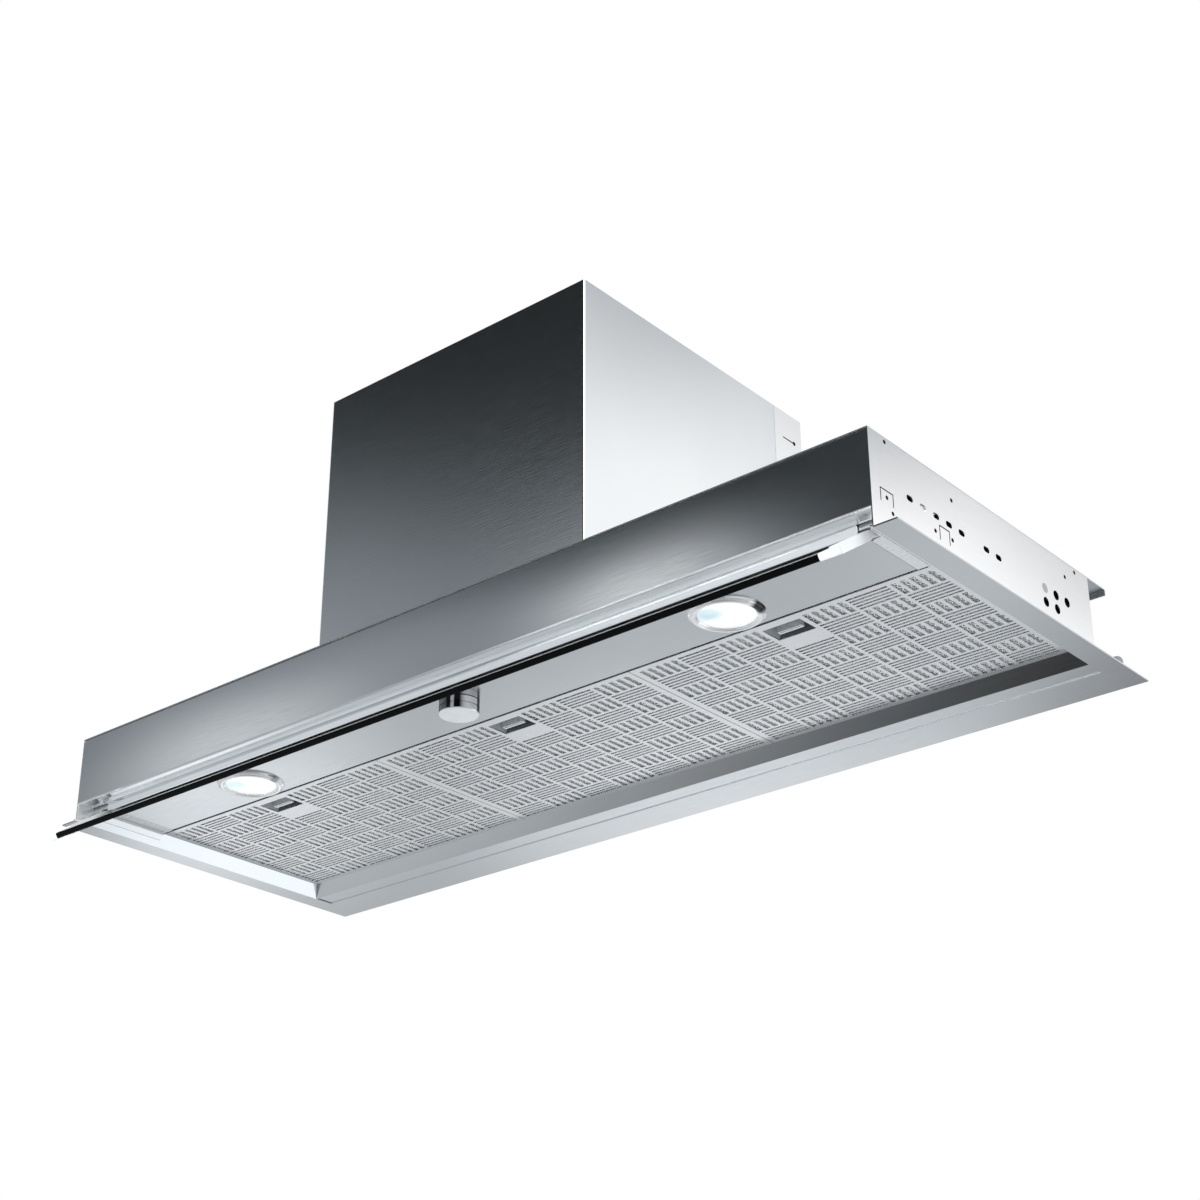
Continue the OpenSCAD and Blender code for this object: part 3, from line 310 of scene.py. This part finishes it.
def brushed(name, light, dark, grain=(0.02, 1, 1), rough=(0.28, 0.42), metallic=1.0, blotch=4,
            bow=None, depth=0.0002, satin_inside=False):
    """Brushed sheet: fine lines along the stretched axis, over slow changes of tone."""
    made, n = material(name)
    lines = n.noise(LINE_SCALE, 2, grain)
    tone = n.noise(blotch, 3)
    colour = n.mix(n.span(tone, 0, 1), srgb(dark), srgb(light))
    fine = n.mix(n.span(lines, 0, LINE_SHADE), colour, srgb(dark))
    normal = n.bump(lines, LINE_RELIEF, depth)
    if bow:
        curve, middle = bow
        rise = n.calc(n.parts(n.coords())["Z"], middle, "SUBTRACT")
        normal = n.bump(n.calc(n.calc(rise, rise, "MULTIPLY"), -curve, "MULTIPLY"), 1, 1, normal)
    if satin_inside:
        face = n.add("ShaderNodeNewGeometry")
        outward = n.parts(face.outputs["Normal"])["X"]
        side = n.parts(face.outputs["Position"])["X"]
        faces_in = n.calc(n.calc(outward, side, "MULTIPLY"), 0, "LESS_THAN")
        metallic = n.span(faces_in, metallic, SATIN_METALLIC, 0, 1)
    n.shader(Base_Color=fine, Metallic=metallic, Roughness=n.span(lines, *rough), Normal=normal)
    return made


def plated(name, light, dark, rough):
    """Plated or machined metal, with faint smears."""
    made, n = material(name)
    smear = n.noise(SMEAR_SCALE, 4)
    n.shader(
        Base_Color=n.mix(n.span(smear, 0, 1), srgb(dark), srgb(light)), Metallic=1.0,
        Roughness=n.span(smear, *rough), Normal=n.bump(smear, SMEAR_RELIEF, SMEAR_DEPTH),
    )
    return made


def chrome_knob(face_top):
    """Chrome whose rim shows dark and light bands of painted reflection, set by which way its surface faces,
    with a satin face below the given height.
    """
    made, n = material("knob")
    smear = n.noise(SMEAR_SCALE, 4)
    on_face = n.calc(n.parts(n.coords())["Z"], face_top, "LESS_THAN")
    # Painted reflection: the rim's bands of tone follow which way its surface faces
    surface = n.add("ShaderNodeNewGeometry")
    across = n.dot(surface.outputs["Normal"], KNOB_AXIS)
    rim = n.ramp(n.span(across, 0, 1, -1, 1), KNOB_PAINTED_REFLECTION_BANDS)
    dark, light = KNOB_FACE_TONES
    n.shader(
        Base_Color=n.mix(on_face, rim, n.mix(n.span(smear, 0, 1), srgb(dark), srgb(light))),
        Metallic=n.span(on_face, KNOB_RIM_METALLIC, SATIN_METALLIC, 0, 1),
        Roughness=n.span(smear, *KNOB_ROUGH), Normal=n.bump(smear, SMEAR_RELIEF, SMEAR_DEPTH),
    )
    return made


def ring_chrome(side, middle):
    """Chrome with a painted reflection: its tone changes round the lamp, as the reflection of its bright and
    dark surroundings would.
    """
    made, n = material("ring_chrome_" + side)
    smear = n.noise(SMEAR_SCALE, 4)
    place = n.parts(n.coords())
    ahead = n.calc(place["Y"], middle.y, "SUBTRACT")
    across = n.calc(place["X"], middle.x, "SUBTRACT")
    turn = n.span(n.calc(ahead, across, "ARCTAN2"), 0, 1, -math.pi, math.pi)
    # Painted reflection: arcs of light and dark tone round the lamp
    stops = [((degrees + 180) / 360, tone) for degrees, tone in RING_PAINTED_REFLECTION_ARCS[side]]
    n.shader(
        Base_Color=n.ramp(turn, stops), Metallic=RING_METALLIC, Roughness=n.span(smear, *RING_ROUGH),
        Normal=n.bump(smear, SMEAR_RELIEF, SMEAR_DEPTH),
    )
    return made


def plastic(name, light, dark, rough=(0.35, 0.5), shine=0.5, painted_wall_shade=None):
    """Moulded plastic with a fine grain. If a tone is given, its upright faces take it as painted shade, as
    in the depth of a recess.
    """
    made, n = material(name)
    skin = n.noise(GRAIN_SCALE, 2)
    tone = n.noise(TONE_SCALE, 3)
    colour = n.mix(n.span(tone, 0, 1), srgb(dark), srgb(light))
    if painted_wall_shade:
        # Painted shade: upright faces take the given darker tone, standing in for the shade inside a recess
        facing = n.add("ShaderNodeTexCoord").outputs["Normal"]
        upright = n.calc(n.calc(n.parts(facing)["Z"], 0, "ABSOLUTE"), UPRIGHT, "LESS_THAN")
        colour = n.mix(upright, colour, srgb(painted_wall_shade))
    n.shader(
        Base_Color=colour, Roughness=n.span(skin, *rough),
        Normal=n.bump(skin, GRAIN_RELIEF, GRAIN_DEPTH), Specular_IOR_Level=shine,
    )
    return made


def clear_glass():
    made, n = material("visor_glass")
    haze = n.noise(HAZE_SCALE, 3)
    dark, light = HAZE_TONES
    n.shader(
        Base_Color=n.mix(n.span(haze, 0, 1), srgb(dark), srgb(light)),
        Roughness=n.span(haze, *HAZE_ROUGH), IOR=GLASS_IOR, Transmission_Weight=1.0,
    )
    return made


def lamp_glass(name, patch_at):
    """Frosted lens: bright, with a pale cool patch as the photograph shows."""
    made, n = material(name)
    mottle = n.span(n.noise(SMEAR_SCALE, 1), PATCH_MOTTLE, 1)
    patch = n.calc(n.spot(n.coords(), patch_at, *PATCH_RADII), mottle, "MULTIPLY")
    frost = n.noise(FROST_SCALE, 2)
    colour = n.mix(patch, srgb(LENS_TONE), srgb(PATCH_TONE))
    n.shader(
        Base_Color=colour, Roughness=n.span(frost, *FROST_ROUGH), Emission_Color=colour,
        Emission_Strength=LENS_GLOW, Normal=n.bump(frost, FROST_RELIEF, FROST_DEPTH), Coat_Weight=LENS_COAT,
    )
    return made


STEEL = brushed("brushed_body", "dadddf", "ced2d5", rough=(0.14, 0.2))
FRONT_STEEL = brushed("brushed_front", "f3f5f6", "e9ecee", rough=(0.09, 0.14), bow=FRONT_BOW, depth=0.00005)
BOX_STEEL = brushed("brushed_box", "f1f3f4", "e7eaec", rough=(0.09, 0.14))
PLATE_STEEL = brushed(
    "bright_plate", "fdfdfe", "f7f8f9", grain=(1, 0.03, 1), rough=(0.10, 0.16), bow=SIDE_BOW,
    satin_inside=True,
)
SIDE_STEEL = brushed("bright_side", "fdfdfe", "f7f8f9", grain=(1, 0.03, 1), rough=(0.10, 0.16))
ZINC = brushed("galvanised", "d9dcde", "c6cacd", grain=(0.3, 0.3, 1), rough=(0.3, 0.45), blotch=40)
FILTER = brushed("filter_sheet", "f8f9fa", "eff1f3", grain=(0.05, 1, 1), rough=(0.2, 0.3))
WIRE = brushed("filter_wire", "fafbfb", "f0f2f3", grain=(1, 0.2, 1), rough=(0.3, 0.5), metallic=0.25)
GUIDE_STEEL = brushed("guide_sheet", "f0f2f3", "e4e7e9", rough=(0.2, 0.28), metallic=0.7)
LATCH_BAR = brushed("latch_bar", "f4f5f6", "dfe2e4", rough=(0.2, 0.3), metallic=0.75)
MACHINED = plated("machined", "c6cacd", "adb2b6", (0.2, 0.32))
TRIM = plastic("dark_trim", "060708", "040505", rough=(0.12, 0.2), shine=0.05)
WHITE = plastic("white_plastic", "fbfcfc", "f3f5f6")
GREY = plastic("grey_plastic", "aaaeb1", "9ca0a3")
# The latch cups' upright faces are darkened with painted shade
CUP = plastic("latch_cup", "9da1a4", "909497", painted_wall_shade="4a4f52")
BLACK = plastic("black_plastic", "1e2022", "17191a")
GLASS = clear_glass()

FINISH = {
    "front_panel": FRONT_STEEL, "motor_cover": BOX_STEEL, "side_plate_left": PLATE_STEEL,
    "side_plate_right": PLATE_STEEL, "motor_rear_cover": SIDE_STEEL, "rear_panel": ZINC, "top_plate": ZINC,
    "bottom_frame": STEEL, "light_panel": STEEL, "visor_guide_left": GUIDE_STEEL,
    "visor_guide_right": GUIDE_STEEL, "visor_glass": GLASS, "visor_trim": TRIM, "visor_arm_left": WHITE,
    "visor_arm_right": WHITE, "knob_spindle": MACHINED, "rotary_switch": BLACK, "lamp_driver": WHITE,
    "motor_box_lid": ZINC, "blower_housing": ZINC, "blower_wheel": BLACK, "motor": ZINC,
    "motor_shaft": MACHINED, "motor_bracket": ZINC, "outlet_collar": BLACK, "flap_front": BLACK,
    "flap_rear": BLACK, "flap_pin": MACHINED, "control_box": WHITE, "control_box_lid": WHITE,
    "cable_gland": BLACK, "cover_screws": MACHINED, "hole_plugs": GREY,
}
low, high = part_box("control_knob")
FINISH["control_knob"] = chrome_knob(low.z + SATIN_DEPTH)
for side in SIDES:
    low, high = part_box("lamp_glass_" + side)
    middle = (low + high) / 2
    FINISH["lamp_ring_" + side] = ring_chrome(side, middle)
    patch_at = Vector((middle.x, middle.y, low.z)) + PATCH_SHIFT
    FINISH["lamp_glass_" + side] = lamp_glass("lamp_glass_" + side, patch_at)
    FINISH["lamp_body_" + side] = GREY
for place in FILTERS:
    FINISH["filter_frame_" + place] = FILTER
    FINISH["filter_mesh_" + place] = WIRE
    FINISH["latch_cup_" + place] = CUP
    FINISH["latch_slider_" + place] = LATCH_BAR

for name, finish in FINISH.items():
    slots = nodes[name].data.materials
    slots.clear()
    slots.append(finish)


def add_object(name, mesh):
    made = bpy.data.objects.new(name, mesh)
    bpy.context.scene.collection.objects.link(made)
    return made


def new_object(name, bm, finish, body, smooth=False):
    """Turns the bmesh into an object of one finish that rides the body."""
    bmesh.ops.recalc_face_normals(bm, faces=bm.faces[:])
    mesh = bpy.data.meshes.new(name)
    bm.to_mesh(mesh)
    bm.free()
    mesh.polygons.foreach_set("use_smooth", [smooth] * len(mesh.polygons))
    mesh.materials.append(finish)
    made = add_object(name, mesh)
    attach(made, body)
    return made


def add_strand(bm, points):
    """A flat strand of wire through the points, as a row of four-sided faces. One point makes no strand."""
    if len(points) < 2:
        return
    half = Vector((0, WEAVE_WIRE / 2, 0))
    pairs = [[bm.verts.new(p - half), bm.verts.new(p + half)] for p in points]
    for (a, b), (c, d) in zip(pairs, pairs[1:]):
        bm.faces.new((a, b, d, c))


def make_weave(place):
    """Expanded wire that lies right behind a filter's slots: strands that zigzag and meet."""
    low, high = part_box("filter_mesh_" + place)
    cup_low, cup_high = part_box("latch_cup_" + place)
    bm = bmesh.new()
    rows = round((high.y - low.y) / WEAVE_PITCH)
    steps = round((high.x - low.x) / WEAVE_PITCH) * 2
    for row in range(rows):
        run = []
        for k in range(steps + 1):
            x = low.x + (high.x - low.x) * k / steps
            swing = (1 if (k + row) % 2 else -1) * WEAVE_PITCH * WEAVE_SWING
            y = low.y + (row + 0.5) * (high.y - low.y) / rows + swing
            beside_cup = cup_low.x - WEAVE_CLEARANCE < x < cup_high.x + WEAVE_CLEARANCE
            if beside_cup and y < cup_high.y + WEAVE_CLEARANCE:
                add_strand(bm, run)
                run = []
                continue
            lift = WEAVE_LIFT * (1 if k % 2 else 0)
            run.append(Vector((x, y, low.z + WEAVE_WIRE / 2 + lift)))
        add_strand(bm, run)
    extruded = bmesh.ops.extrude_face_region(bm, geom=bm.faces[:])
    raised = [v for v in extruded["geom"] if isinstance(v, bmesh.types.BMVert)]
    bmesh.ops.translate(bm, verts=raised, vec=(0, 0, WEAVE_WIRE * WEAVE_THICKNESS))
    weave = new_object("filter_weave_" + place, bm, WIRE, "filter_" + place)


for place in FILTERS:
    make_weave(place)


def make_bead(side):
    """A half-round bead that runs round the flat of a lamp ring, outside its glass."""
    low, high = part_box("lamp_ring_" + side)
    middle = (low + high) / 2
    outer = high.x - middle.x - BEAD_INSET
    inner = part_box("lamp_glass_" + side)[1].x - middle.x
    centre, half = (outer + inner) / 2, (outer - inner) / 2
    bm = bmesh.new()
    rings = []
    for k in range(BEAD_TURNS):
        turn = 2 * math.pi * k / BEAD_TURNS
        ring = []
        for j in range(BEAD_ARCS + 1):
            arc = math.pi * j / BEAD_ARCS
            r = centre + half * math.cos(arc)
            z = low.z + BEAD_SINK - BEAD_RISE * math.sin(arc)
            ring.append(bm.verts.new((middle.x + r * math.cos(turn), middle.y + r * math.sin(turn), z)))
        rings.append(ring)
    for a, b in zip(rings, rings[1:] + rings[:1]):
        for j in range(BEAD_ARCS + 1):
            i = (j + 1) % (BEAD_ARCS + 1)
            bm.faces.new((a[j], b[j], b[i], a[i]))
    bead = new_object("lamp_bead_" + side, bm, FINISH["lamp_ring_" + side], "hood", smooth=True)


for side in SIDES:
    make_bead(side)


def add_glows(n, facing, base, glows):
    for direction, radius, strength, tone in glows:
        glow = n.calc(n.spot(facing, direction, 0, radius), strength, "MULTIPLY")
        base = n.mix(glow, base, srgb(tone))
    return base


def make_world():
    """Even light from all round. Metal and glass show a white studio whose front gets dark upwards."""
    world = bpy.data.worlds.new("studio")
    bpy.context.scene.world = world
    world.use_nodes = True
    n = Nodes(world.node_tree)
    paths = n.add("ShaderNodeLightPath")
    glossy = paths.outputs["Is Glossy Ray"]
    shown = n.calc(paths.outputs["Is Camera Ray"], glossy)
    shown = n.calc(shown, paths.outputs["Is Transmission Ray"])
    facing = n.add("ShaderNodeTexCoord").outputs["Generated"]
    towards = n.parts(facing)
    dark = n.ramp(towards["Z"], FRONT_TONES)
    dark = n.mix(n.span(towards["X"], 0.0, 1.0, *FRONT_END), dark, srgb(FRONT_END_TONE))
    dark = add_glows(n, facing, dark, FRONT_GLOWS)
    above = n.span(n.dot(facing, RIGHT_NORMAL), 0.0, 1.0, *RIGHT_FADE)
    fading = n.mix(above, (RIGHT_LIGHT, RIGHT_LIGHT, RIGHT_LIGHT, 1), srgb(RIGHT_TONE))
    fading = add_glows(n, facing, fading, RIGHT_GLOWS)
    light_side = n.mix(n.span(towards["X"], 0.0, 1.0, *RIGHT_START), (1, 1, 1, 1), fading)
    room = n.mix(n.span(towards["Y"], 1.0, 0.0, *FRONT_DEPTHS), light_side, dark)
    light = n.add("ShaderNodeBackground")
    light.inputs["Color"].default_value = srgb(WORLD_TONE)
    light.inputs["Strength"].default_value = WORLD_STRENGTH
    studio = n.add("ShaderNodeBackground")
    n.join(n.mix(glossy, (1, 1, 1, 1), room), studio.inputs["Color"])
    studio.inputs["Strength"].default_value = 1
    blend = n.add("ShaderNodeMixShader")
    n.join(shown, blend.inputs[0])
    n.join(light.outputs[0], blend.inputs[1])
    n.join(studio.outputs[0], blend.inputs[2])
    output = n.add("ShaderNodeOutputWorld")
    n.join(blend.outputs[0], output.inputs["Surface"])


def make_floor():
    """Pale floor. Metal shows soft lighter and darker spots on it: painted light and shade that only metal
    and glass see.
    """
    mesh = bpy.data.meshes.new("floor")
    half = FLOOR_HALF
    corners = [(-half, -half, 0), (half, -half, 0), (half, half, 0), (-half, half, 0)]
    mesh.from_pydata(corners, [], [(0, 1, 2, 3)])
    floor = add_object("floor", mesh)
    floor.location.z = FLOOR_Z
    made, n = material("floor")
    place = n.coords()
    tone = FLOOR_TONE
    for (x, y), inner, outer, change in FLOOR_PAINTED_LIGHT_AND_SHADE_SPOTS:
        tone = n.calc(n.calc(n.spot(place, (x, y, 0), inner, outer), change, "MULTIPLY"), tone)
    paths = n.add("ShaderNodeLightPath")
    seen = n.add("ShaderNodeEmission")
    seen.inputs["Color"].default_value = srgb(FLOOR_HUE)
    n.join(tone, seen.inputs["Strength"])
    pale = n.add("ShaderNodeBsdfDiffuse")
    pale.inputs["Color"].default_value = srgb(FLOOR_PALE)
    blend = n.add("ShaderNodeMixShader")
    n.join(n.calc(paths.outputs["Is Glossy Ray"], paths.outputs["Is Transmission Ray"]), blend.inputs[0])
    n.join(pale.outputs[0], blend.inputs[1])
    n.join(seen.outputs[0], blend.inputs[2])
    output = n.add("ShaderNodeOutputMaterial")
    n.join(blend.outputs[0], output.inputs["Surface"])
    mesh.materials.append(made)


def make_lamp(name, place, aim, size, power):
    data = bpy.data.lights.new(name, "AREA")
    data.shape = "RECTANGLE"
    data.size, data.size_y = size
    data.energy = power
    lamp = add_object(name, data)
    lamp.location = place
    lamp.rotation_euler = (Vector(aim) - Vector(place)).to_track_quat("-Z", "Y").to_euler()


def make_camera():
    sin_y, cos_y = math.sin(CAMERA_YAW), math.cos(CAMERA_YAW)
    ahead_flat = Vector((-sin_y, cos_y, 0))
    right = Vector((cos_y, sin_y, 0))
    up_world = Vector((0, 0, 1))
    ahead = ahead_flat * math.cos(CAMERA_PITCH) + up_world * math.sin(CAMERA_PITCH)
    up = up_world * math.cos(CAMERA_PITCH) - ahead_flat * math.sin(CAMERA_PITCH)
    right_r = right * math.cos(CAMERA_ROLL) + up * math.sin(CAMERA_ROLL)
    up_r = up * math.cos(CAMERA_ROLL) - right * math.sin(CAMERA_ROLL)
    turn = Matrix((right_r, up_r, -ahead)).transposed()
    data = bpy.data.cameras.new("camera")
    data.sensor_width = SENSOR
    data.lens = LENS
    data.clip_start = CLIP_START
    camera = add_object("camera", data)
    camera.matrix_world = Matrix.Translation(CAMERA_PLACE) @ turn.to_4x4()
    bpy.context.scene.camera = camera


make_world()
make_floor()
for lamp in LAMPS:
    make_lamp(*lamp)
make_camera()
bpy.context.scene.view_settings.view_transform = "Standard"
